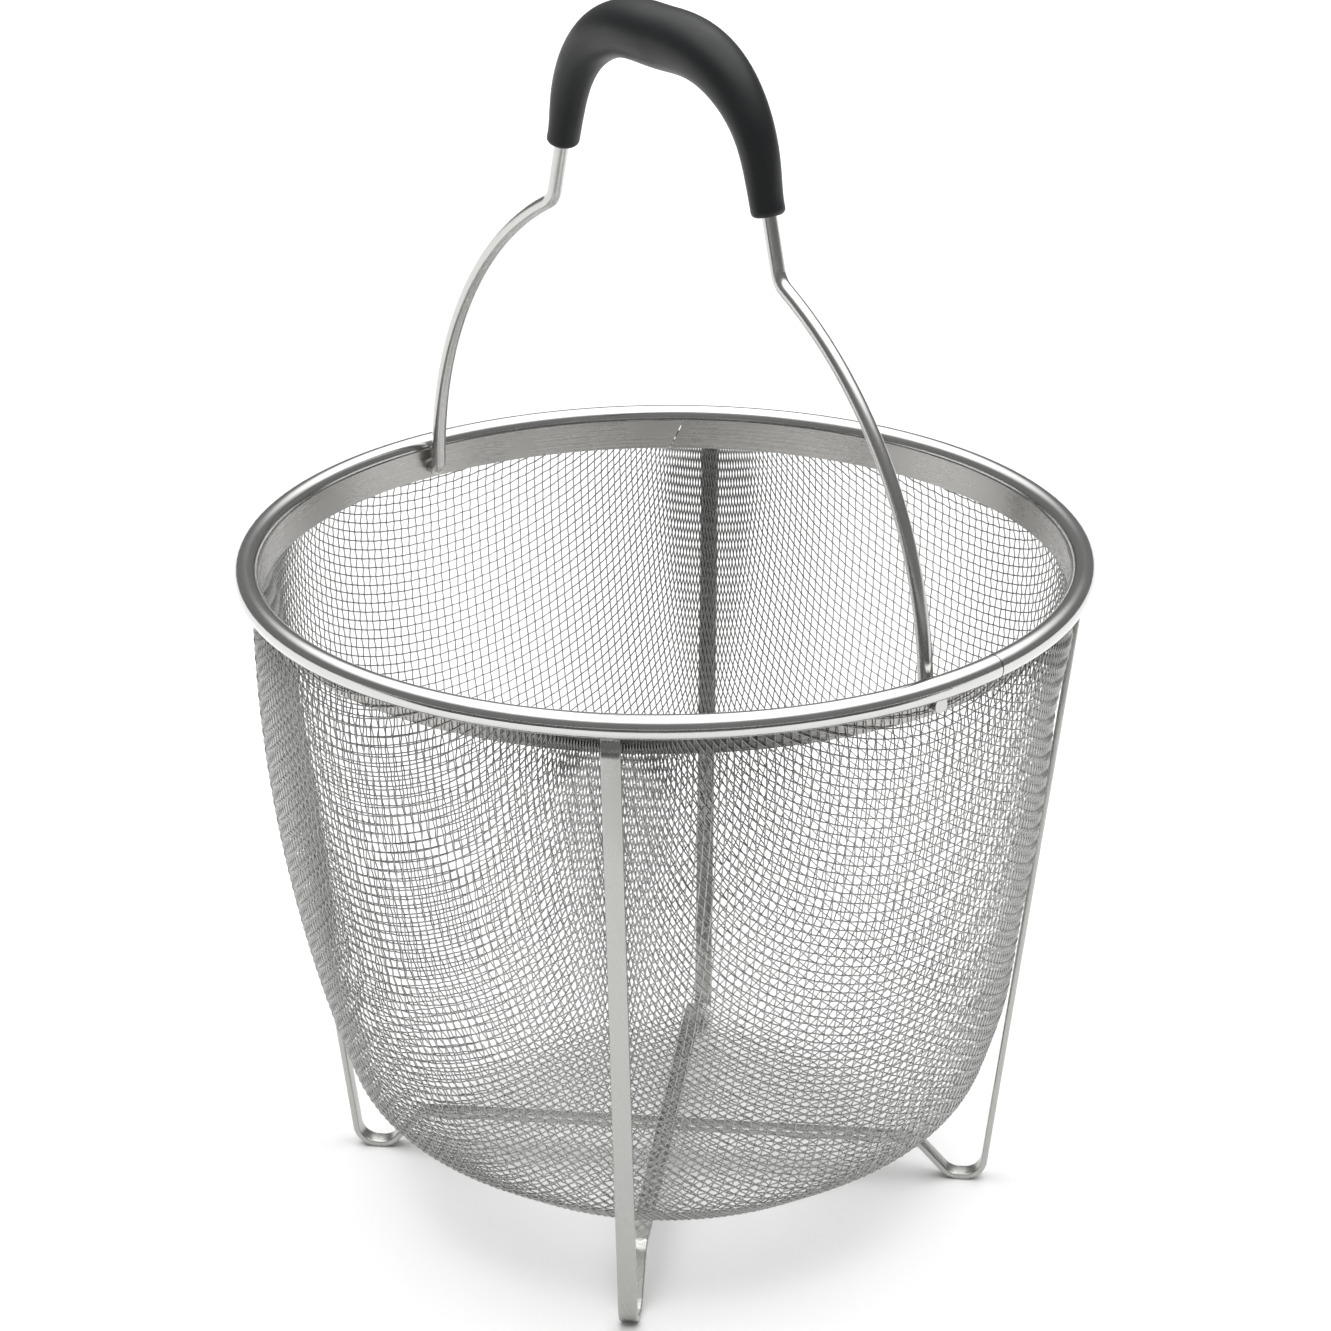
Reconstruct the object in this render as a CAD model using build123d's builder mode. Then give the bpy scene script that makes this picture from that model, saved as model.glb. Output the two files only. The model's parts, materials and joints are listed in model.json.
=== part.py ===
"""Basket strainer: a wire-mesh bowl in a rolled rim, standing on two bent flat strips, with a
folding bail handle and a soft grip. Millimetres. The origin is on the floor under the rim's
centre, +Z is up, and the bail pivots about an axis along X."""

from build123d import *
from math import atan2, cos, degrees, pi, radians, sin, sqrt, tan
import os

os.makedirs("parts", exist_ok=True)

# ---------------------------------------------------------------- driving dimensions
# Rim: a hollow rolled bead, and an inner band that hangs below it.
rim_height = 173.7          # centre of the bead above the floor
bead_path_radius = 105.0    # bead centre line
bead_radius = 3.0           # outside of the rolled bead
sheet = 0.6                 # sheet metal of the bead
seam_gap = 0.3              # butt seams of the bead and of the band
bead_seam_angle = 9.2       # where the bead's seam sits, degrees from +X
band_wall = 0.5
band_edge = 1.0             # band metal below its pivot holes
band_seam_angle = 140.0
band_seam_slant = 25.0      # the band's seam leans over by this much

# Mesh bowl: its outside profile, from the neck under the rim to the flat bottom.
mesh_thickness = 0.9        # two crossed wires
neck_length = 5.6           # from the band's edge down to where the bowl is widest
neck_swell = 0.8            # the bowl is wider there than at its neck by this much
wall_end_angle = 18.5       # side wall's slope where the lower corner starts, from vertical
corner_radius = 22.3        # lower corner of the bowl
cone_angle = 55.1           # slope of the lower cone, from vertical
base_inset = 48.7           # the cone would meet the flat bottom this far inside the widest radius
base_blend_radius = 23.0    # cone to flat bottom
leg_groove_radius = 60.0    # soft dent that each leg presses into the mesh

# Legs: two strips, each bent into a pair of opposite legs and crossing under the bowl.
strip_width = 4.8
strip_thickness = 1.6
leg_angle = 45.0            # first strip's direction, from the bail's pivot axis
foot_inset = 20.1           # a leg's line meets the floor this far inside its top end
foot_flat = 1.2             # flat on the bottom of each foot
foot_bend = 5.5             # centre-line radius of every bend in a strip
foot_rise_angle = 48.0      # slope of the inner limb of a foot
strip_clearance = 10.0      # lowest strip's underside above the floor

# Bail handle: one bent wire with a moulded grip.
wire_radius = 1.85
stub_reach = 2.3            # the wire's ends stand out past the band by this much
stub_bend = 2.3
shoulder_x = 44.5           # where a round arm ends and the upright neck starts
shoulder_bend = 6.0
neck_lean = 14.4            # lean of the upright neck toward the middle, degrees
arch_height = 50.3          # top of the wire arch above the shoulders
arch_bend = 30.0
grip_height = 15.4          # lower ends of the grip above the shoulders
grip_end_diameter = 8.5
grip_middle_diameter = 15.4
grip_edge_round = 1.5

# Clearances
fit_gap = 0.05              # bead to band, strip to strip, and wire to grip
bead_clearance = 0.35       # wire ends to the underside of the bead
layer_gap = 0.15            # between the mesh and what lies against it
pivot_clearance = 0.08      # radial, wire end in its band hole
mesh_hole_clearance = 0.5   # radial, wire end through the mesh
arm_gap = 1.0               # between the bail's round arms and the band

# ---------------------------------------------------------------- places that follow
pivot_drop = bead_radius + bead_clearance + wire_radius
pivot_height = rim_height - pivot_drop
band_drop = pivot_drop + wire_radius + pivot_clearance + band_edge
band_outer = bead_path_radius - bead_radius - fit_gap
band_inner = band_outer - band_wall
mesh_top = rim_height - bead_radius - fit_gap
neck_radius = band_outer + layer_gap + mesh_thickness
bowl_radius = neck_radius + neck_swell
arm_radius = band_inner - arm_gap - wire_radius
leg_top_radius = neck_radius + layer_gap + strip_thickness / 2
foot_corner_radius = leg_top_radius - foot_inset
neck_foot = rim_height - band_drop      # the mesh and the legs run straight down to here
leg_lean = degrees(atan2(foot_inset, neck_foot - strip_thickness / 2))
under_strip_height = strip_clearance + strip_thickness / 2
over_strip_height = under_strip_height + strip_thickness + fit_gap
mesh_floor = over_strip_height + strip_thickness / 2 + fit_gap


def polar(radius, angle):
    return (radius * cos(radians(angle)), radius * sin(radians(angle)))


def radial_plane(angle, height=0.0):
    """Upright plane through the rim's axis: its x runs outward at angle, its y runs up."""
    return Plane(origin=(0, 0, height), x_dir=(*polar(1, angle), 0), z_dir=(*polar(1, angle - 90), 0))


# ---------------------------------------------------------------- rim
with BuildPart() as rim_bead:
    with BuildSketch(radial_plane(0)):
        with Locations((bead_path_radius, rim_height)):
            Circle(bead_radius)
            Circle(bead_radius - sheet, mode=Mode.SUBTRACT)
    revolve(axis=Axis.Z)
    # the rolled ring is closed by a butt seam that shows as a fine slit
    with BuildSketch(radial_plane(bead_seam_angle)):
        with Locations((bead_path_radius, rim_height)):
            Rectangle(4 * bead_radius, 4 * bead_radius)
    extrude(amount=seam_gap / 2, both=True, mode=Mode.SUBTRACT)
rim_bead.part.label = "rim_bead"

with BuildPart() as rim_band:
    with BuildSketch(Plane.XY.offset(rim_height - band_drop)):
        Circle(band_outer)
        Circle(band_inner, mode=Mode.SUBTRACT)
    extrude(amount=band_drop)
    # the wire's ends turn in two holes on the pivot axis
    with BuildSketch(Plane.YZ.offset(-2 * band_outer)):
        with Locations((0, pivot_height)):
            Circle(wire_radius + pivot_clearance)
    extrude(amount=4 * band_outer, mode=Mode.SUBTRACT)
    # the band's own butt seam leans over
    seam_face = Plane(
        origin=(*polar(band_outer, band_seam_angle), rim_height - band_drop / 2),
        x_dir=(*polar(1, band_seam_angle + 90), 0),
        z_dir=(*polar(1, band_seam_angle), 0),
    )
    with BuildSketch(seam_face.offset(-3 * band_wall)):
        Rectangle(seam_gap, 3 * band_drop, rotation=band_seam_slant)
    extrude(amount=6 * band_wall, mode=Mode.SUBTRACT)
rim_band.part.label = "rim_band"


# ---------------------------------------------------------------- mesh bowl
def wall_curve():
    """Radius of the long wall curve, so that the wall, corner and cone join smoothly from the
    widest radius down to the flat bottom."""
    wall, cone = radians(wall_end_angle), radians(cone_angle)
    across = base_inset - corner_radius * (cos(wall) - cos(cone))
    down = neck_foot - neck_length - mesh_floor - corner_radius * (sin(cone) - sin(wall))
    scale = sin(cone) * sin(wall) - cos(cone) * (1 - cos(wall))
    return (down * sin(cone) - across * cos(cone)) / scale


def bowl_form(inset):
    """Solid bowl with its surface moved inward by inset, dented where the four legs lie."""
    wall_arc_radius = wall_curve()
    widest = neck_foot - neck_length
    wall_slope, cone_slope = radians(wall_end_angle), radians(cone_angle)
    wall_centre = (bowl_radius - wall_arc_radius, widest)
    joint_x = wall_centre[0] + (wall_arc_radius - corner_radius) * cos(wall_slope)
    joint_z = wall_centre[1] - (wall_arc_radius - corner_radius) * sin(wall_slope)
    cone_x = joint_x + (corner_radius - inset) * cos(cone_slope)
    cone_z = joint_z - (corner_radius - inset) * sin(cone_slope)
    floor = mesh_floor + inset
    rise = pi / 2 - cone_slope
    blend = base_blend_radius - inset
    corner_x = cone_x - (cone_z - floor) / tan(rise)
    base_x = corner_x - blend * tan(rise / 2)
    with BuildPart() as form:
        with BuildSketch(radial_plane(0)):
            with BuildLine():
                base = Line((0, floor), (base_x, floor))
                base_arc = CenterArc((base_x, floor + blend), blend, -90, 90 - cone_angle)
                Line(base_arc @ 1, (cone_x, cone_z))
                CenterArc((joint_x, joint_z), corner_radius - inset, -cone_angle,
                          cone_angle - wall_end_angle)
                CenterArc(wall_centre, wall_arc_radius - inset, -wall_end_angle, wall_end_angle)
                neck_x = neck_radius - inset
                neck = [(neck_x, neck_foot), (neck_x, mesh_top)]
                Polyline((bowl_radius - inset, widest), *neck, (0, mesh_top), base @ 0)
            make_face()
        revolve(axis=Axis.Z)
        for quarter in range(4):
            angle = leg_angle + 90 * quarter
            reach = neck_radius + leg_groove_radius / cos(radians(leg_lean))
            across = (*polar(cos(radians(leg_lean)), angle), -sin(radians(leg_lean)))
            along_leg = (*polar(sin(radians(leg_lean)), angle), cos(radians(leg_lean)))
            groove_top = (*polar(reach, angle), neck_foot)
            with BuildSketch(Plane(origin=groove_top, x_dir=across, z_dir=along_leg)):
                Circle(leg_groove_radius + inset)
            extrude(amount=2 * rim_height, both=True, mode=Mode.SUBTRACT)
    return form.part


bowl_outside = bowl_form(0)
bowl_inside = bowl_form(mesh_thickness)
with BuildPart() as mesh_basket:
    add(bowl_outside)
    add(bowl_inside, mode=Mode.SUBTRACT)
    with BuildSketch(Plane.YZ.offset(-2 * bowl_radius)):
        with Locations((0, pivot_height)):
            Circle(wire_radius + mesh_hole_clearance)
    extrude(amount=4 * bowl_radius, mode=Mode.SUBTRACT)
mesh_basket.part.label = "mesh_basket"


# ---------------------------------------------------------------- legs
def leg_strip(angle, flat_height):
    """One flat strip: down a leg, round its foot, across under the bowl and up the far leg."""
    slope = tan(radians(foot_rise_angle))
    bottom = strip_thickness / 2
    outer_turn = foot_bend * tan(radians(90 - leg_lean) / 2)
    inner_turn = foot_bend * tan(radians(foot_rise_angle) / 2)
    toe = foot_corner_radius - outer_turn - foot_flat - inner_turn
    half = [
        (leg_top_radius, mesh_top),
        (leg_top_radius, neck_foot),
        (foot_corner_radius, bottom),
        (toe, bottom),
        (toe - (flat_height - bottom) / slope, flat_height),
    ]
    far_half = [(-x, z) for x, z in reversed(half)]
    side = radial_plane(angle)
    with BuildPart() as strip:
        with BuildLine(side) as run:
            FilletPolyline(*half, *far_half, radius=foot_bend)
        path = run.line
        with BuildSketch(Plane(origin=path @ 0, x_dir=side.z_dir, z_dir=path % 0)):
            Rectangle(strip_width, strip_thickness)
        sweep(path=path)
    return strip.part


leg_strip_under = leg_strip(leg_angle, under_strip_height)
leg_strip_under.label = "leg_strip_under"
leg_strip_over = leg_strip(leg_angle + 90, over_strip_height)
leg_strip_over.label = "leg_strip_over"

# ---------------------------------------------------------------- bail handle
bail_plane = radial_plane(0, pivot_height)
shoulder_z = sqrt(arm_radius**2 - shoulder_x**2)
shoulder_angle = degrees(atan2(shoulder_z, shoulder_x))
lean = tan(radians(neck_lean))
arch_x = shoulder_x - arch_height * lean
grip_x = shoulder_x - grip_height * lean
arch_z = shoulder_z + arch_height
grip_z = shoulder_z + grip_height
stub_end = band_outer + stub_reach


def bail_corner(path, x, z):
    """The corner of the bail's path nearest to x and z, measured from the pivot axis."""
    return path.vertices().sort_by_distance((x, 0, pivot_height + z))[0]


with BuildLine(bail_plane) as bail:
    Line((stub_end, 0), (arm_radius, 0))
    CenterArc((0, 0), arm_radius, 0, shoulder_angle)
    neck_and_arch = [(shoulder_x, shoulder_z), (arch_x, arch_z)]
    Polyline(*neck_and_arch, *[(-x, z) for x, z in reversed(neck_and_arch)])
    CenterArc((0, 0), arm_radius, 180 - shoulder_angle, shoulder_angle)
    Line((-arm_radius, 0), (-stub_end, 0))
    for side in (1, -1):
        fillet(bail_corner(bail, side * arm_radius, 0), radius=stub_bend)
        fillet(bail_corner(bail, side * shoulder_x, shoulder_z), radius=shoulder_bend)
        fillet(bail_corner(bail, side * arch_x, arch_z), radius=arch_bend)
bail_path = bail.wire()

with BuildPart() as handle_wire:
    with BuildSketch(Plane(origin=bail_path @ 0, z_dir=bail_path % 0)):
        Circle(wire_radius)
    sweep(path=bail_path)
handle_wire.part.label = "handle_wire"

with BuildLine(bail_plane) as grip_line:
    half_grip = [(grip_x, grip_z), (arch_x, arch_z)]
    FilletPolyline(*half_grip, *[(-x, z) for x, z in reversed(half_grip)], radius=arch_bend)
grip_path = grip_line.wire()

grip_stations = 12
with BuildPart() as handle_grip:
    for station in range(grip_stations + 1):
        along = station / grip_stations
        swell = sin(pi * along) ** 2
        diameter = grip_end_diameter + (grip_middle_diameter - grip_end_diameter) * swell
        with BuildSketch(Plane(origin=grip_path @ along, z_dir=grip_path % along)):
            Circle(diameter / 2)
    loft()
    fillet(handle_grip.edges().group_by(Axis.Z)[0], radius=grip_edge_round)
    # the wire runs right through the grip
    with BuildSketch(Plane(origin=bail_path @ 0, z_dir=bail_path % 0)):
        Circle(wire_radius + fit_gap)
    sweep(path=bail_path, mode=Mode.SUBTRACT)
handle_grip.part.label = "handle_grip"

# ---------------------------------------------------------------- files
export_step(rim_bead.part, "parts/rim_bead.step")
export_step(rim_band.part, "parts/rim_band.step")
export_step(mesh_basket.part, "parts/mesh_basket.step")
export_step(leg_strip_under, "parts/leg_strip_under.step")
export_step(leg_strip_over, "parts/leg_strip_over.step")
export_step(handle_wire.part, "parts/handle_wire.step")
export_step(handle_grip.part, "parts/handle_grip.step")
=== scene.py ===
"""Basket strainer in Blender: woven wire bowl, polished rim, satin legs, bail wire and silicone grip.
Lengths are named in millimetres and become metres where a mesh is made. Origin on the floor, +Z up."""

import json
import math

import bpy
import numpy as np
from mathutils import Matrix, Vector


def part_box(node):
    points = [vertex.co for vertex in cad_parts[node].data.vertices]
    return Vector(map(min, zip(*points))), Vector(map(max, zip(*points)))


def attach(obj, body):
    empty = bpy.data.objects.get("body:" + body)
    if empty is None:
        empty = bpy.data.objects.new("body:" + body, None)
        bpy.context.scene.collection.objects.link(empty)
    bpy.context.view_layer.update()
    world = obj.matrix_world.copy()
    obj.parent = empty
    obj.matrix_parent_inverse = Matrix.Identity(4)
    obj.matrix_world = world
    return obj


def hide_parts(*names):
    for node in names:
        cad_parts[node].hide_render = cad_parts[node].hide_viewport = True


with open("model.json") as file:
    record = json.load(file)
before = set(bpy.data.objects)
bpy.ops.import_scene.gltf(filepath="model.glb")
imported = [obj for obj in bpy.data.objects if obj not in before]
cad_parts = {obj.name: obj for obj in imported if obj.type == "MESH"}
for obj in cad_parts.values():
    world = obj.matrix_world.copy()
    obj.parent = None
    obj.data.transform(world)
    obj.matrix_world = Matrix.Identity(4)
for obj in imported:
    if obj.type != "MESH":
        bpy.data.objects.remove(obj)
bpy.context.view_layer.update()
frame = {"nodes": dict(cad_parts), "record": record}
nodes = frame["nodes"]
MM = 0.001

# ---------------------------------------------------------------- sizes
# Millimetres. The frame gives where the pieces are; the rest repeats the design's own profile.
band_low, _ = (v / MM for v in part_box("rim_band"))
mesh_low, mesh_high = (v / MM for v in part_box("mesh_basket"))

mesh_thickness = 0.9
neck_swell = 0.8
neck_length = 5.6
wall_end_angle = math.radians(18.5)
corner_radius = 22.3
cone_angle = math.radians(55.1)
base_inset = 48.7
base_blend_radius = 23.0
leg_angle = 45.0
foot_inset = 20.1
leg_groove_radius = 60.0
strip_width = 4.8
strip_thickness = 1.6
strip_edge_round = 0.4
foot_flat = 1.2
foot_bend = 5.5
foot_rise = math.radians(48.0)
strip_clearance = 10.0
layer_gap = 0.15
fit_gap = 0.05

wire_pitch = 2.54           # ten wires to the inch
wire_radius = 0.19
wire_sides = 6
weave_gap = 0.01            # between the two wires of a crossing
net_size = 100              # wires on each side of the middle one
outer_quarter = 32          # the outer pieces of the cloth start at this wire
cloth_below_bead = 0.3      # from the top of the bowl down to the cloth's cut edge
pivot_hole = 2.4            # radius of the hole that a wire end passes through

slack_angle = 46.0          # the side where the cloth was drawn flatter
slack_spread = 36.0
slack_depth = 3.2
slack_upper_fade = 25.0
slack_low_end = 50.0
slack_low_fade = 45.0
dent_reach = 40.0           # a leg's dent ends this far to each side of the leg
dent_softening = 12.0       # the dent's edge widens by 1 mm for each such step down the wall
dent_soft_range = (0.02, 1.5)

bowl_radius = mesh_high.x
neck_radius = bowl_radius - neck_swell
neck_foot = band_low.z
mesh_floor = mesh_low.z
mesh_top = mesh_high.z
widest_above_floor = neck_foot - neck_length


# ---------------------------------------------------------------- mesh helpers
def make_mesh(name, points, quads, caps=()):
    """A mesh object from points in millimetres, quads by index and caps of more corners."""
    mesh = bpy.data.meshes.new(name)
    points = np.asarray(points, dtype=np.float32) * MM
    corners = np.concatenate([np.ravel(quads)] + [np.ravel(c) for c in caps]).astype(np.int32)
    sizes = [4] * len(quads) + [len(c) for c in caps]
    starts = np.concatenate([[0], np.cumsum(sizes)[:-1]]).astype(np.int32)
    mesh.vertices.add(len(points))
    mesh.vertices.foreach_set("co", points.ravel())
    mesh.loops.add(len(corners))
    mesh.loops.foreach_set("vertex_index", corners)
    mesh.polygons.add(len(sizes))
    mesh.polygons.foreach_set("loop_start", starts)
    mesh.update(calc_edges=True)
    mesh.validate()
    mesh.shade_smooth()
    obj = bpy.data.objects.new(name, mesh)
    bpy.context.scene.collection.objects.link(obj)
    return obj


# ---------------------------------------------------------------- the bowl's surface
def wall_curve():
    """Radius of the long wall curve that joins the widest place to the lower corner smoothly."""
    across = base_inset - corner_radius * (math.cos(wall_end_angle) - math.cos(cone_angle))
    down = widest_above_floor - mesh_floor
    down -= corner_radius * (math.sin(cone_angle) - math.sin(wall_end_angle))
    scale = math.sin(cone_angle) * math.sin(wall_end_angle)
    scale -= math.cos(cone_angle) * (1 - math.cos(wall_end_angle))
    return (down * math.sin(cone_angle) - across * math.cos(cone_angle)) / scale


def bowl_profile():
    """The cloth's middle surface as radius and height along the meridian, from the centre outward."""
    wall_arc_radius = wall_curve()
    inset = mesh_thickness / 2
    centre = (bowl_radius - wall_arc_radius, widest_above_floor)
    joint = (
        centre[0] + (wall_arc_radius - corner_radius) * math.cos(wall_end_angle),
        centre[1] - (wall_arc_radius - corner_radius) * math.sin(wall_end_angle),
    )
    bend = corner_radius - inset
    cone = (joint[0] + bend * math.cos(cone_angle), joint[1] - bend * math.sin(cone_angle))
    floor = mesh_floor + inset
    rise = math.pi / 2 - cone_angle
    blend = base_blend_radius - inset
    base_end = cone[0] - (cone[1] - floor) / math.tan(rise) - blend * math.tan(rise / 2)

    def arc(middle, radius, start, end):
        turn = np.radians(np.linspace(math.degrees(start), math.degrees(end), 60))
        return [(middle[0] + radius * math.cos(t), middle[1] + radius * math.sin(t)) for t in turn]

    line = [(0.0, floor)]
    line += arc((base_end, floor + blend), blend, -math.pi / 2, -cone_angle)
    line += arc(joint, bend, -cone_angle, -wall_end_angle)
    line += arc(centre, wall_arc_radius - inset, -wall_end_angle, 0.0)
    line += [(neck_radius - inset, neck_foot), (neck_radius - inset, mesh_top + 60)]
    line = np.array(line)
    step = np.hypot(*np.diff(line, axis=0).T)
    line = line[np.concatenate([[True], step > 1e-6])]
    along = np.concatenate([[0], np.cumsum(np.hypot(*np.diff(line, axis=0).T))])
    even = np.arange(0, along[-1], 0.25)
    return even, np.interp(even, along, line[:, 0]), np.interp(even, along, line[:, 1])


meridian, profile_r, profile_z = bowl_profile()
slope_r = np.gradient(profile_r, meridian)
slope_z = np.gradient(profile_z, meridian)


def on_bowl(s, turn):
    """The point at distance s along the meridian, in the direction turn."""
    r = np.interp(s, meridian, profile_r)
    z = np.interp(s, meridian, profile_z)
    return np.stack([r * np.cos(turn), r * np.sin(turn), z], axis=-1)


def bowl_normal(s, turn):
    """Outward normal of the bowl's surface."""
    nr = np.interp(s, meridian, slope_z)
    nz = -np.interp(s, meridian, slope_r)
    size = np.hypot(nr, nz)
    return np.stack([nr * np.cos(turn), nr * np.sin(turn), nz], axis=-1) / size[..., None]


def woven_net(count):
    """Crossings of a square cloth drawn over the bowl without stretching its wires: each new
    crossing is one pitch from the two before it. One quadrant; the others mirror it."""
    newton_steps, probe = 12, 0.05
    longest_step, widest_turn = 1.5, 0.1
    s = np.full((count, count), np.nan)
    turn = np.full((count, count), np.nan)
    s[:, 0] = s[0, :] = np.arange(count) * wire_pitch
    turn[:, 0] = 0.0
    turn[0, :] = math.pi / 2
    turn[0, 0] = math.pi / 4
    for diagonal in range(2, 2 * count - 1):
        i = np.arange(max(1, diagonal - count + 1), min(diagonal, count))
        j = diagonal - i
        a = on_bowl(s[i - 1, j], turn[i - 1, j])
        b = on_bowl(s[i, j - 1], turn[i, j - 1])
        guess = a + b - on_bowl(s[i - 1, j - 1], turn[i - 1, j - 1])
        u = s[i - 1, j] + s[i, j - 1] - s[i - 1, j - 1]
        if diagonal == 2:
            u = np.array([wire_pitch * math.sqrt(2)])
        w = np.arctan2(guess[:, 1], guess[:, 0])
        for _ in range(newton_steps):
            p = on_bowl(u, w)
            pu = (on_bowl(u + probe, w) - on_bowl(u - probe, w)) / (2 * probe)
            pw = np.stack([-p[:, 1], p[:, 0], np.zeros(len(p))], axis=-1)
            fa = ((p - a) ** 2).sum(1) - wire_pitch**2
            fb = ((p - b) ** 2).sum(1) - wire_pitch**2
            j11, j12 = 2 * ((p - a) * pu).sum(1), 2 * ((p - a) * pw).sum(1)
            j21, j22 = 2 * ((p - b) * pu).sum(1), 2 * ((p - b) * pw).sum(1)
            det = j11 * j22 - j12 * j21
            du = (fa * j22 - fb * j12) / det
            dw = (j11 * fb - j21 * fa) / det
            u = u - np.clip(du, -longest_step, longest_step)
            w = w - np.clip(dw, -widest_turn, widest_turn)
        s[i, j], turn[i, j] = u, w
    return s, turn


# ---------------------------------------------------------------- woven wire cloth
leg_lean = math.atan2(foot_inset, neck_foot - strip_thickness / 2)
cloth_dent = leg_groove_radius + mesh_thickness / 2


def slack(points):
    """Moves the cloth inward round one leg, where the bowl was drawn flatter."""
    points = points.copy()
    turn = np.degrees(np.arctan2(points[..., 1], points[..., 0]))
    beside = np.clip(1 - np.abs(turn - slack_angle) / slack_spread, 0, 1)
    upper = np.clip((neck_foot - points[..., 2]) / slack_upper_fade, 0, 1)
    lower = np.clip((points[..., 2] - slack_low_end) / slack_low_fade, 0, 1)
    share = 1.0
    for part in (beside, upper, lower):
        share = share * part * part * (3 - 2 * part)
    reach = np.hypot(points[..., 0], points[..., 1])
    points[..., :2] *= (1 - slack_depth * share / np.maximum(reach, 1))[..., None]
    return points


def press_legs(points):
    """Moves the cloth inward where the four legs lie against it."""
    points = points.copy()
    reach = neck_radius + leg_groove_radius / math.cos(leg_lean)
    for quarter in range(4):
        turn = math.radians(leg_angle + 90 * quarter)
        out = points[..., 0] * math.cos(turn) + points[..., 1] * math.sin(turn)
        side = points[..., 1] * math.cos(turn) - points[..., 0] * math.sin(turn)
        z = points[..., 2]
        hollow = np.sqrt(np.clip(cloth_dent**2 - side**2, 0, None)) / math.cos(leg_lean)
        limit = reach - (neck_foot - z) * math.tan(leg_lean) - hollow
        soft = np.clip((widest_above_floor - z) / dent_softening, *dent_soft_range)
        mix = np.clip(0.5 + 0.5 * (limit - out) / soft, 0, 1)
        pressed = limit + (out - limit) * mix - soft * mix * (1 - mix)
        push = np.where((out > 0) & (np.abs(side) < dent_reach), pressed - out, 0)
        points[..., 0] += push * math.cos(turn)
        points[..., 1] += push * math.sin(turn)
    return points


def whole_net(count):
    """Crossings and outward normals of the whole cloth, indexed from -(count-1) to count-1 each way."""
    s, turn = woven_net(count)
    quadrant = on_bowl(s, turn)
    normal = bowl_normal(s, turn)
    index = np.arange(1 - count, count)
    i, j = np.meshgrid(np.abs(index), np.abs(index), indexing="ij")
    sign = np.sign(index + 0.5)
    flip = np.stack(np.meshgrid(sign, sign, [1.0], indexing="ij"), axis=-1)[:, :, 0]
    crossings = slack(press_legs(quadrant[i, j] * flip))
    return index, crossings, normal[i, j] * flip


def room(points):
    """How far inside the cloth's edge a point lies: below the top, and outside the pivot holes."""
    top = cloth_top - points[:, 2]
    pivot = np.hypot(points[:, 1], points[:, 2] - pivot_height) - pivot_hole
    pivot = np.where(np.abs(points[:, 0]) > neck_radius / 2, pivot, 99.0)
    return np.minimum(top, pivot)


def runs(line, normal):
    """The stretches of one wire that lie inside the cloth's edge, ended exactly on the edge."""
    inside = room(line)
    inside[np.isnan(inside)] = -1
    keep = inside > 0
    edges = np.flatnonzero(np.diff(np.concatenate([[0], keep.astype(int), [0]])))
    for start, stop in edges.reshape(-1, 2):
        points, normals = [line[start:stop]], [normal[start:stop]]
        for at, beyond, end in ((start, start - 1, 0), (stop - 1, stop, 1)):
            if not 0 <= beyond < len(line) or np.isnan(line[beyond]).any():
                continue
            share = inside[at] / (inside[at] - inside[beyond])
            if share < 0.05:
                continue
            tip = line[at] + (line[beyond] - line[at]) * share
            points.insert(len(points) if end else 0, tip[None])
            normals.insert(len(normals) if end else 0, normal[at][None])
        points = np.concatenate(points)
        if len(points) > 1:
            yield points, np.concatenate(normals)


def tube_rings(points, normals, radius, sides):
    """Ring after ring of points round a line, and the quads and end caps over them."""
    along = np.gradient(points, axis=0)
    along /= np.linalg.norm(along, axis=1, keepdims=True)
    across = np.cross(along, normals)
    across /= np.linalg.norm(across, axis=1, keepdims=True)
    up = np.cross(across, along)
    angle = np.arange(sides) * 2 * math.pi / sides
    ring = np.cos(angle)[None, :, None] * across[:, None] + np.sin(angle)[None, :, None] * up[:, None]
    corners = (points[:, None] + radius * ring).reshape(-1, 3)
    first = np.arange(len(points) - 1)[:, None] * sides + np.arange(sides)
    second = np.arange(len(points) - 1)[:, None] * sides + (np.arange(sides) + 1) % sides
    quads = np.stack([first, second, second + sides, first + sides], axis=-1).reshape(-1, 4)
    last = (len(points) - 1) * sides
    caps = [list(range(sides))[::-1], list(range(last, last + sides))]
    return corners, quads, caps


def wire_piece(name, lines):
    """One object of many separate wires, each a closed tube."""
    corners, quads, caps, total = [], [], [], 0
    for points, normals in lines:
        c, q, ends = tube_rings(points, normals, wire_radius, wire_sides)
        corners.append(c)
        quads.append(q + total)
        caps += [[k + total for k in end] for end in ends]
        total += len(c)
    return make_mesh(name, np.concatenate(corners), np.concatenate(quads), caps)


cloth_top = mesh_top - cloth_below_bead
pivot_height = frame["record"]["behaviour"]["joints"][0]["pos_m"][2] / MM
weave_rise = wire_radius + weave_gap / 2
index, crossings, normals = whole_net(net_size)
checker = np.where((index[:, None] + index[None, :]) % 2 == 0, 1.0, -1.0)[..., None]
over = crossings + normals * checker * weave_rise
under = crossings - normals * checker * weave_rise
splits = (-net_size, -outer_quarter, 0, outer_quarter, net_size)
cloth = []
for number, (low, high) in enumerate(zip(splits, splits[1:]), 1):
    picked = [k for k in range(len(index)) if low <= index[k] < high]
    warp = [run for k in picked for run in runs(over[k], normals[k])]
    weft = [run for k in picked for run in runs(under[:, k], normals[:, k])]
    cloth.append(wire_piece(f"mesh_warp_{number}", warp))
    cloth.append(wire_piece(f"mesh_weft_{number}", weft))


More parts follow.
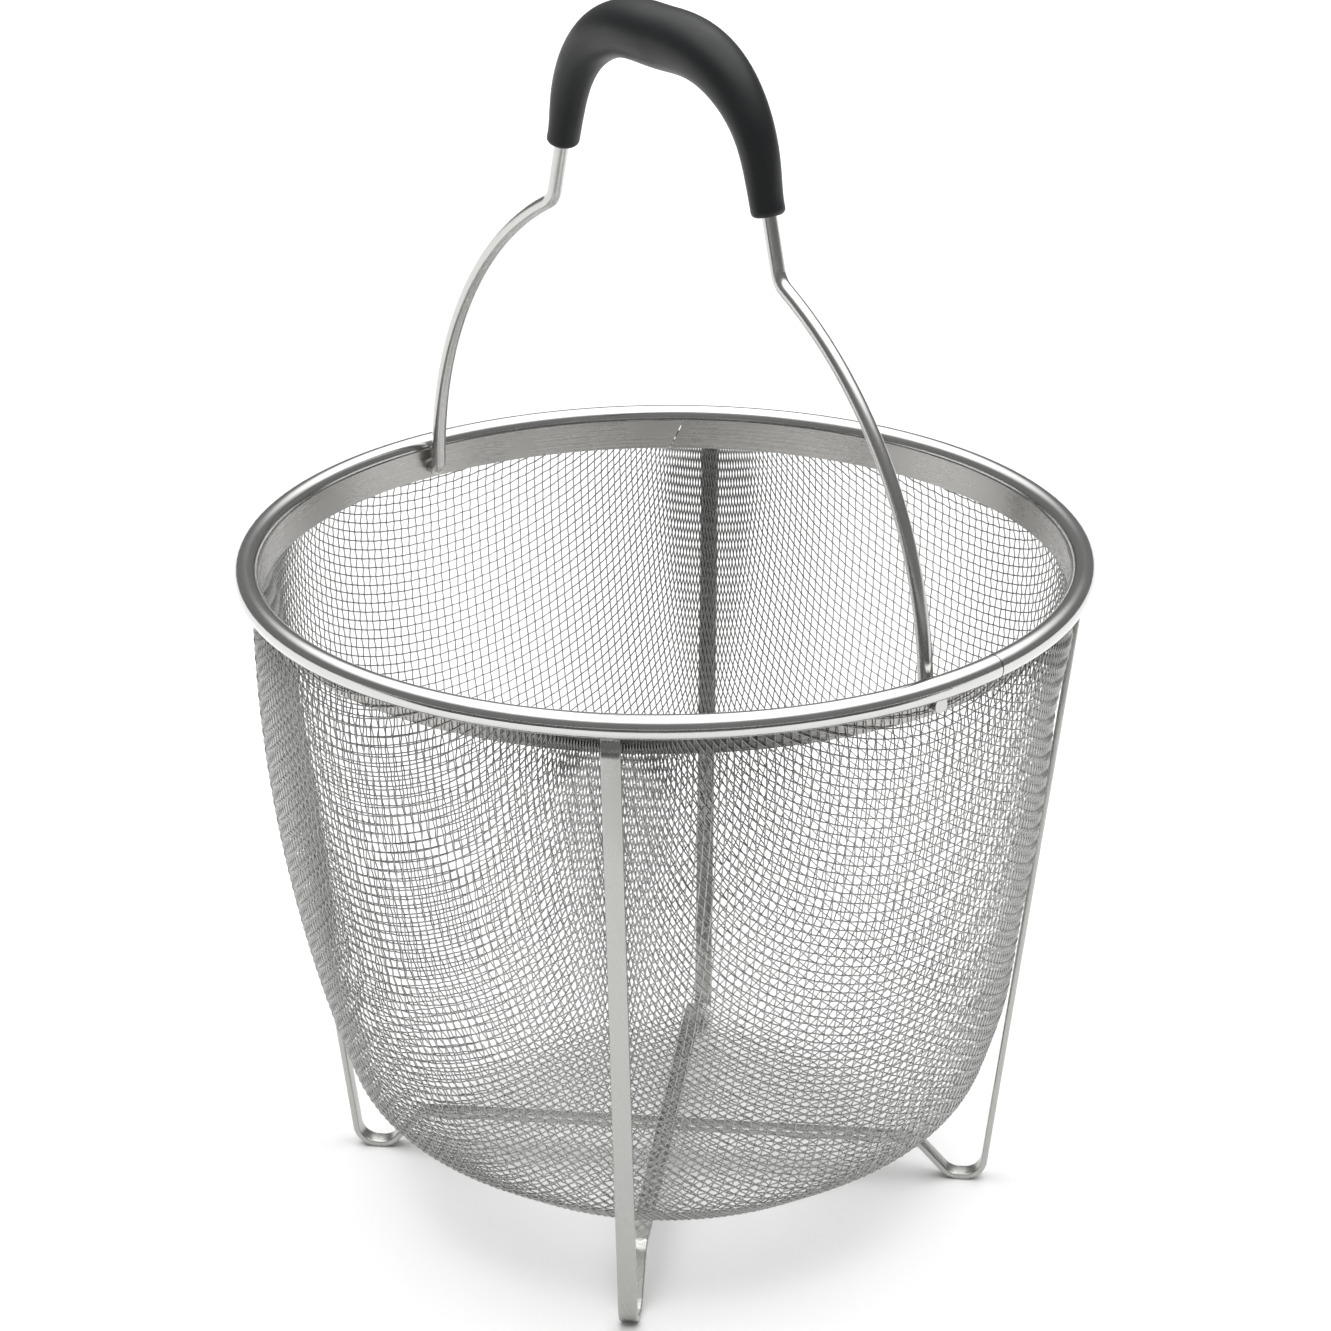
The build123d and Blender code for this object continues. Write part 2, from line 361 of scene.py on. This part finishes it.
# ---------------------------------------------------------------- leg strips
def rounded_path(corners, radius):
    """Points and headings along a line of corners, each corner turned with the same radius."""
    corners = [np.array(c, dtype=float) for c in corners]
    points, headings = [], []
    for k, corner in enumerate(corners):
        before = corner - corners[k - 1] if k else corners[1] - corner
        after = corners[k + 1] - corner if k + 1 < len(corners) else before
        start = math.atan2(before[1], before[0])
        turn = math.atan2(after[1], after[0]) - start
        turn = (turn + math.pi) % (2 * math.pi) - math.pi
        if abs(turn) < 1e-6:
            points.append(corner)
            headings.append(start)
            continue
        side = math.copysign(1.0, turn)
        back = radius * math.tan(abs(turn) / 2)
        first = corner - back * np.array([math.cos(start), math.sin(start)])
        centre = first + side * radius * np.array([-math.sin(start), math.cos(start)])
        for step in np.linspace(0, turn, 2 + int(abs(turn) / math.radians(3))):
            heading = start + step
            points.append(centre + side * radius * np.array([math.sin(heading), -math.cos(heading)]))
            headings.append(heading)
    return np.array(points), np.array(headings)


def strip_outline():
    """Cross-section of a strip, across and through it, with its edges rounded."""
    across, through = strip_width / 2 - strip_edge_round, strip_thickness / 2 - strip_edge_round
    outline = []
    for quarter, (x, y) in enumerate(((1, 1), (-1, 1), (-1, -1), (1, -1))):
        for step in range(6):
            turn = math.pi / 2 * (quarter + step / 5)
            outline.append((
                x * across + strip_edge_round * math.cos(turn),
                y * through + strip_edge_round * math.sin(turn),
            ))
    return np.array(outline)


def leg_strip(name, angle, flat_height):
    """A strip down one leg, round its foot, across under the bowl and up the far leg."""
    leg_top_radius = neck_radius + layer_gap + strip_thickness / 2
    foot_corner = leg_top_radius - foot_inset
    bottom = strip_thickness / 2
    toe = foot_corner - foot_bend * math.tan((math.pi / 2 - leg_lean) / 2)
    toe -= foot_flat + foot_bend * math.tan(foot_rise / 2)
    half = [
        (leg_top_radius, mesh_top),
        (leg_top_radius, neck_foot),
        (foot_corner, bottom),
        (toe, bottom),
        (toe - (flat_height - bottom) / math.tan(foot_rise), flat_height),
    ]
    path, heading = rounded_path(half + [(-x, z) for x, z in reversed(half)], foot_bend)
    outline = strip_outline()
    turn = math.radians(angle)
    out = np.array([math.cos(turn), math.sin(turn), 0.0])
    sideways = np.array([-math.sin(turn), math.cos(turn), 0.0])
    upright = np.array([0.0, 0.0, 1.0])
    centre = path[:, :1] * out + path[:, 1:] * upright
    through = -np.sin(heading)[:, None] * out + np.cos(heading)[:, None] * upright
    rings = centre[:, None] + outline[None, :, :1] * sideways + outline[None, :, 1:] * through[:, None]
    count = len(outline)
    here = np.arange(count)
    beside = (here + 1) % count
    rows = np.arange(len(path) - 1)[:, None] * count
    quads = np.stack([rows + here, rows + beside, rows + beside + count, rows + here + count], axis=-1)
    last = (len(path) - 1) * count
    caps = [list(range(count))[::-1], list(range(last, last + count))]
    return make_mesh(name, rings.reshape(-1, 3), quads.reshape(-1, 4), caps)


under_height = strip_clearance + strip_thickness / 2
strips = {
    "leg_strip_under": leg_strip("strip_under", leg_angle, under_height),
    "leg_strip_over": leg_strip("strip_over", leg_angle + 90, under_height + strip_thickness + fit_gap),
}


# ---------------------------------------------------------------- materials
def new_material(name, color, metallic, roughness):
    """A material with its node tree and its shader."""
    mat = bpy.data.materials.new(name)
    mat.use_nodes = True
    shader = mat.node_tree.nodes["Principled BSDF"]
    shader.inputs["Base Color"].default_value = (*color, 1)
    shader.inputs["Metallic"].default_value = metallic
    shader.inputs["Roughness"].default_value = roughness
    return mat, mat.node_tree, shader


def node(tree, kind, *links, **values):
    """A node with its inputs linked in order and its settings given by name."""
    made = tree.nodes.new(kind)
    for key, value in values.items():
        setattr(made, key, value)
    for slot, link in enumerate(links):
        if isinstance(link, bpy.types.NodeSocket):
            tree.links.new(link, made.inputs[slot])
        elif link is not None:
            made.inputs[slot].default_value = link
    return made


def spread(tree, value, low, high):
    """Noise from 0.3 to 0.7 spread over low to high."""
    made = node(tree, "ShaderNodeMapRange", value, 0.3, 0.7, low, high)
    return made.outputs["Result"]


def noise(tree, vector, scale, detail=3.0):
    """Noise at the given coordinates, as a single value."""
    made = node(tree, "ShaderNodeTexNoise", vector)
    made.inputs["Scale"].default_value = scale
    made.inputs["Detail"].default_value = detail
    return made.outputs["Fac"]


def ring_coordinates(tree, along):
    """Coordinates that change fast across a ring round Z and slowly along it."""
    place = tree.nodes.new("ShaderNodeTexCoord").outputs["Object"]
    split = node(tree, "ShaderNodeSeparateXYZ", place).outputs
    flat = node(tree, "ShaderNodeCombineXYZ", split["X"], split["Y"], 0.0).outputs[0]
    radius = node(tree, "ShaderNodeVectorMath", flat, operation="LENGTH").outputs["Value"]
    slow = node(tree, "ShaderNodeVectorMath", flat, (along, along, along), operation="MULTIPLY").outputs[0]
    fast = node(tree, "ShaderNodeCombineXYZ", radius, 0.0, split["Z"]).outputs[0]
    return node(tree, "ShaderNodeVectorMath", slow, fast, operation="ADD").outputs[0]


def straight_coordinates(tree, turn, scale):
    """Object coordinates turned about Z and scaled apart along their axes."""
    place = tree.nodes.new("ShaderNodeTexCoord").outputs["Object"]
    made = node(tree, "ShaderNodeMapping", place)
    made.inputs["Rotation"].default_value = (0, 0, math.radians(turn))
    made.inputs["Scale"].default_value = scale
    return made.outputs[0]


def brushed(name, color, roughness, coordinates, lines_scale, depth):
    """Steel with fine lines along one direction and a soft, uneven sheen."""
    mat, tree, shader = new_material(name, color, 1.0, roughness)
    vector = coordinates(tree)
    lines = noise(tree, vector, lines_scale, 4.0)
    place = tree.nodes.new("ShaderNodeTexCoord").outputs["Object"]
    spots = noise(tree, place, 60, 2.0)
    both = node(tree, "ShaderNodeMath", lines, spots, operation="ADD").outputs[0]
    half = node(tree, "ShaderNodeMath", both, 0.5, operation="MULTIPLY").outputs[0]
    tree.links.new(spread(tree, half, roughness * 0.75, roughness * 1.3), shader.inputs["Roughness"])
    dark = tuple(0.93 * c for c in color)
    tint = node(tree, "ShaderNodeMix", data_type="RGBA")
    tree.links.new(spread(tree, half, 0.0, 1.0), tint.inputs["Factor"])
    tint.inputs[6].default_value = (*dark, 1)
    tint.inputs[7].default_value = (*color, 1)
    tree.links.new(tint.outputs[2], shader.inputs["Base Color"])
    bump = node(tree, "ShaderNodeBump", depth, 0.0001)
    tree.links.new(lines, bump.inputs["Height"])
    tree.links.new(bump.outputs["Normal"], shader.inputs["Normal"])
    return mat


bead_steel = brushed("polished_rim", (0.62, 0.62, 0.61), 0.14, lambda t: ring_coordinates(t, 0.02), 900, 0.05)
band_steel = brushed("satin_band", (0.5, 0.49, 0.47), 0.27, lambda t: ring_coordinates(t, 0.01), 1500, 0.25)
under_steel = brushed("satin_strip_under", (0.47, 0.47, 0.45), 0.26,
                      lambda t: straight_coordinates(t, -45, (0.03, 1, 0.03)), 1200, 0.18)
over_steel = brushed("satin_strip_over", (0.47, 0.47, 0.45), 0.26,
                     lambda t: straight_coordinates(t, -45, (1, 0.03, 0.03)), 1200, 0.18)
bail_steel = brushed("drawn_wire", (0.57, 0.565, 0.55), 0.22,
                     lambda t: straight_coordinates(t, 0, (0.03, 1, 0.03)), 1500, 0.15)
cloth_steel, _, _ = new_material("bright_wire", (0.37, 0.37, 0.36), 1.0, 0.25)

silicone, tree, shader = new_material("black_silicone", (0.012, 0.013, 0.014), 0.0, 0.45)
place = tree.nodes.new("ShaderNodeTexCoord").outputs["Object"]
fine = noise(tree, place, 2600, 3.0)
broad = noise(tree, place, 90, 3.0)
tree.links.new(spread(tree, broad, 0.38, 0.50), shader.inputs["Roughness"])
bump = node(tree, "ShaderNodeBump", 0.12, 0.0001)
tree.links.new(fine, bump.inputs["Height"])
tree.links.new(bump.outputs["Normal"], shader.inputs["Normal"])
shader.inputs["Specular IOR Level"].default_value = 0.3
shader.inputs["Sheen Weight"].default_value = 0.03
shader.inputs["Sheen Roughness"].default_value = 0.4


def paint(obj, mat):
    """Puts the material in every slot of the object."""
    for slot in range(max(1, len(obj.data.materials))):
        if slot < len(obj.data.materials):
            obj.data.materials[slot] = mat
        else:
            obj.data.materials.append(mat)


for piece in cloth:
    paint(piece, cloth_steel)
    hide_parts("mesh_basket")
    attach(piece, "basket")

for name, mat in (("leg_strip_under", under_steel), ("leg_strip_over", over_steel)):
    paint(strips[name], mat)
    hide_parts(name)
    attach(strips[name], "basket")

for name, mat in (
    ("rim_bead", bead_steel),
    ("rim_band", band_steel),
    ("handle_wire", bail_steel),
    ("handle_grip", silicone),
):
    for slot in nodes[name].material_slots:
        slot.material = mat

# ---------------------------------------------------------------- floor, light and camera
floor_half = 9000.0
floor_paint, _, _ = new_material("studio_floor", (0.9, 0.9, 0.9), 0.0, 0.9)
floor_corners = [(x * floor_half, y * floor_half, 0) for x, y in ((-1, -1), (1, -1), (1, 1), (-1, 1))]
floor = make_mesh("floor", floor_corners, [[0, 1, 2, 3]])
paint(floor, floor_paint)


def round_the_object(azimuth, elevation, distance):
    """The place seen from the object at an azimuth and elevation in degrees."""
    a, e = math.radians(azimuth), math.radians(elevation)
    return (
        distance * math.sin(a) * math.cos(e),
        -distance * math.cos(a) * math.cos(e),
        distance * math.sin(e),
    )


camera_azimuth = 52.0
scene = bpy.context.scene
scene.view_settings.view_transform = "Standard"
world = bpy.data.worlds.new("studio")
scene.world = world
world.use_nodes = True
tree = world.node_tree
sky = tree.nodes["Background"]
sky.inputs["Color"].default_value = (1, 1, 1, 1)
direction = tree.nodes.new("ShaderNodeTexCoord").outputs["Generated"]
height = node(tree, "ShaderNodeSeparateXYZ", direction).outputs["Z"]
overhead = node(tree, "ShaderNodeMapRange", height, 0.0, 1.0, 0.2, 0.3).outputs["Result"]
# one broad softbox, high and slightly behind the object
softbox_place = round_the_object(camera_azimuth + 170, 78, 1.0)
facing = node(tree, "ShaderNodeVectorMath", direction, softbox_place, operation="DOT_PRODUCT")
facing = facing.outputs["Value"]
softbox = node(tree, "ShaderNodeMapRange", facing, 0.55, 0.9, 0.0, 2.7, interpolation_type="SMOOTHSTEP")
total = node(tree, "ShaderNodeMath", overhead, softbox.outputs["Result"], operation="ADD").outputs[0]
tree.links.new(total, sky.inputs["Strength"])

# A black card on the floor toward the camera, seen only in the steel's reflections.
card_paint, _, _ = new_material("black_card", (0.05, 0.05, 0.05), 0.0, 0.9)
near, far, wide = 350.0, 3000.0, 3000.0
toward = np.array(round_the_object(camera_azimuth, 0.0, 1.0))
beside = np.array([-toward[1], toward[0], 0.0])
lift = np.array([0.0, 0.0, 0.5])      # just clear of the floor
corners = [near * toward - wide * beside, near * toward + wide * beside]
corners += [far * toward + wide * beside, far * toward - wide * beside]
card = make_mesh("black_card", [corner + lift for corner in corners], [[0, 1, 2, 3]])
paint(card, card_paint)
card.visible_camera = False
card.visible_diffuse = False
card.visible_transmission = False
card.visible_shadow = False

camera_elevation = 21.659
camera_distance = 1.00596
look_down = math.radians(23.221)
roll = -0.0060
target = Vector((0, 0, 0.17374))
camera_data = bpy.data.cameras.new("camera")
camera_data.sensor_width = 36
camera_data.lens = 108.29
camera = bpy.data.objects.new("camera", camera_data)
scene.collection.objects.link(camera)
scene.camera = camera
azimuth = math.radians(camera_azimuth)
forward = Vector((
    -math.sin(azimuth) * math.cos(look_down),
    math.cos(azimuth) * math.cos(look_down),
    -math.sin(look_down),
))
level = Vector((math.cos(azimuth), math.sin(azimuth), 0))
upright = level.cross(forward)
right = level * math.cos(roll) + upright * math.sin(roll)
up = upright * math.cos(roll) - level * math.sin(roll)
camera.matrix_world = Matrix.Translation(
    target + Vector(round_the_object(camera_azimuth, camera_elevation, camera_distance))
) @ Matrix((right, up, -forward)).transposed().to_4x4()
